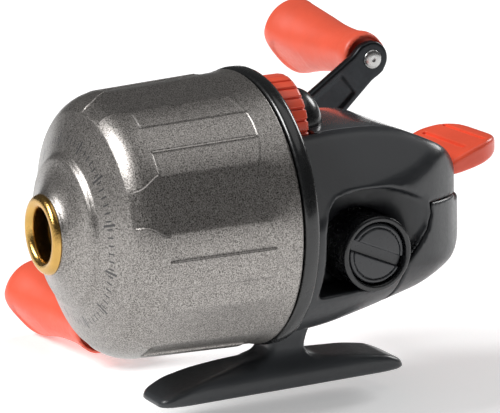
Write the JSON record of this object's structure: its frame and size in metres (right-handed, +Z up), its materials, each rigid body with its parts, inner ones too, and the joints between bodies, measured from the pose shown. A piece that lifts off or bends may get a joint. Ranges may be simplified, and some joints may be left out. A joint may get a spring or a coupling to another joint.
{
  "type": "spincast reel",
  "caption": "Closed-face spincast fishing reel with a fluted metallic nose cover, drag dial, thumb button, double crank with paddle knobs and a rod foot.",
  "frame": {"origin": "centre of the underside of the foot, where it rests on the rod", "axes": "+Z up from the rod to the reel, -Y forward along the rod to the line guide, -X to the crank side"},
  "size_m": [0.1189, 0.1192, 0.0801],
  "materials": {
    "gunmetal_paint": "satin metallic fleck",
    "gold_metal": "polished",
    "black_satin": "satin",
    "black_matte": "fine moulded grain",
    "grey_gloss": "semi-gloss",
    "black_metal": "satin",
    "alloy": "die cast",
    "steel": "satin",
    "coral_plastic": "satin",
    "coral_soft": "soft touch",
    "clear_line": "translucent nylon",
    "felt": "pressed felt"
  },
  "bodies": {
    "housing": {"body_ring": "black_satin", "deck_plate": "alloy", "deck_screws": "steel", "gear_frame": "alloy", "frame_screws": "steel", "rear_cover": "black_matte", "tail_cover": "black_matte", "top_panel": "grey_gloss", "left_boss": "black_satin", "right_boss": "black_satin", "reel_foot": "black_satin", "foot_screws": "steel", "spool_clip": "steel", "front_bearing": "steel", "rear_bearing": "steel", "left_bush": "gold_metal", "crank_bearing": "steel", "pawl_pin": "steel", "pawl_spring": "steel", "button_pin": "steel", "button_spring": "steel"},
    "cover": {"front_cover": "gunmetal_paint", "line_guide_ring": "gold_metal"},
    "crank": {"crank_sleeve": "black_satin", "crank_arm": "black_metal", "crank_nut": "black_metal", "drive_shaft": "steel", "drive_gear": "gold_metal", "ratchet_wheel": "steel", "knob_pins": "steel"},
    "knob_a": {"upper_knob": "coral_soft"},
    "knob_b": {"lower_knob": "coral_soft"},
    "rotor": {"pinion_gear": "gold_metal", "shaft_spring": "steel"},
    "spinner": {"centre_shaft": "steel", "shaft_clip": "steel", "spinner_head": "alloy", "spinner_nut": "gold_metal", "pin_spring": "steel"},
    "pickup": {"pickup_pin": "steel"},
    "spool_body": {"spool": "alloy", "wound_line": "clear_line", "drag_felt_washer": "felt"},
    "press": {"drag_plate": "steel", "drag_spring_washer": "steel"},
    "cam": {"drag_cam_ring": "alloy"},
    "dial": {"drag_dial": "coral_plastic", "dial_shaft": "gold_metal"},
    "button": {"thumb_button": "coral_plastic"},
    "pawl": {"antireverse_pawl": "steel"},
    "cap": {"side_cap": "black_matte"}
  },
  "joints": [
    {"name": "cover_pull", "type": "slide", "parent": "housing", "child": "cover", "axis": [0, -1, 0], "range_m": [0, 0.06]},
    {"name": "crank_turn", "type": "hinge", "parent": "housing", "child": "crank", "pos_m": [-0.03, 0.0145, 0.034], "axis": [1, 0, 0], "continuous": true},
    {"name": "upper_knob_spin", "type": "hinge", "parent": "crank", "child": "knob_a", "pos_m": [-0.066, 0.05183, 0.06337], "axis": [1, 0, 0], "continuous": true},
    {"name": "lower_knob_spin", "type": "hinge", "parent": "crank", "child": "knob_b", "pos_m": [-0.066, -0.02283, 0.00463], "axis": [1, 0, 0], "continuous": true},
    {"name": "pinion_spin", "type": "hinge", "parent": "housing", "child": "rotor", "pos_m": [0, 0, 0.043], "axis": [0, 1, 0], "continuous": true},
    {"name": "shaft_push", "type": "slide", "parent": "rotor", "child": "spinner", "axis": [0, -1, 0], "range_m": [0, 0.0023]},
    {"name": "pin_retract", "type": "slide", "parent": "spinner", "child": "pickup", "axis": [-1, 0, 0], "range_m": [0, 0.0018]},
    {"name": "thumb_press", "type": "hinge", "parent": "housing", "child": "button", "pos_m": [0, 0.031, 0.052], "axis": [-1, 0, 0], "range_deg": [0, 15], "stiffness_Nm_per_rad": 0.05, "springref_deg": -17.19, "deforming": ["shaft_spring", "button_spring"]},
    {"name": "drag_turn", "type": "hinge", "parent": "housing", "child": "dial", "pos_m": [0, 0.001, 0.061], "axis": [0, -1, 0], "range_deg": [0, 270]},
    {"name": "cam_turn", "type": "hinge", "parent": "housing", "child": "cam", "pos_m": [0, -0.0117, 0.043], "axis": [0, -1, 0], "range_deg": [-104, 0]},
    {"name": "drag_press", "type": "slide", "parent": "housing", "child": "press", "axis": [0, -1, 0], "range_m": [0, 0.00042]},
    {"name": "spool_slip", "type": "hinge", "parent": "housing", "child": "spool_body", "pos_m": [0, -0.022, 0.043], "axis": [0, 1, 0], "continuous": true},
    {"name": "pawl_lift", "type": "hinge", "parent": "housing", "child": "pawl", "pos_m": [-0.0099, 0.026, 0.0436], "axis": [-1, 0, 0], "range_deg": [0, 10], "stiffness_Nm_per_rad": 0.001, "springref_deg": -11.46},
    {"name": "cap_pull", "type": "slide", "parent": "housing", "child": "cap", "axis": [1, 0, 0], "range_m": [0, 0.012]}
  ],
  "couplings": [
    {"joint": "pinion_spin", "follows": "crank_turn", "ratio": -3.9},
    {"joint": "thumb_press", "follows": "shaft_push", "rad_per_m": 113.8},
    {"joint": "pin_retract", "follows": "shaft_push", "ratio": 0.7826},
    {"joint": "drag_turn", "follows": "drag_press", "rad_per_m": 11219},
    {"joint": "cam_turn", "follows": "drag_press", "rad_per_m": -4315}
  ]
}
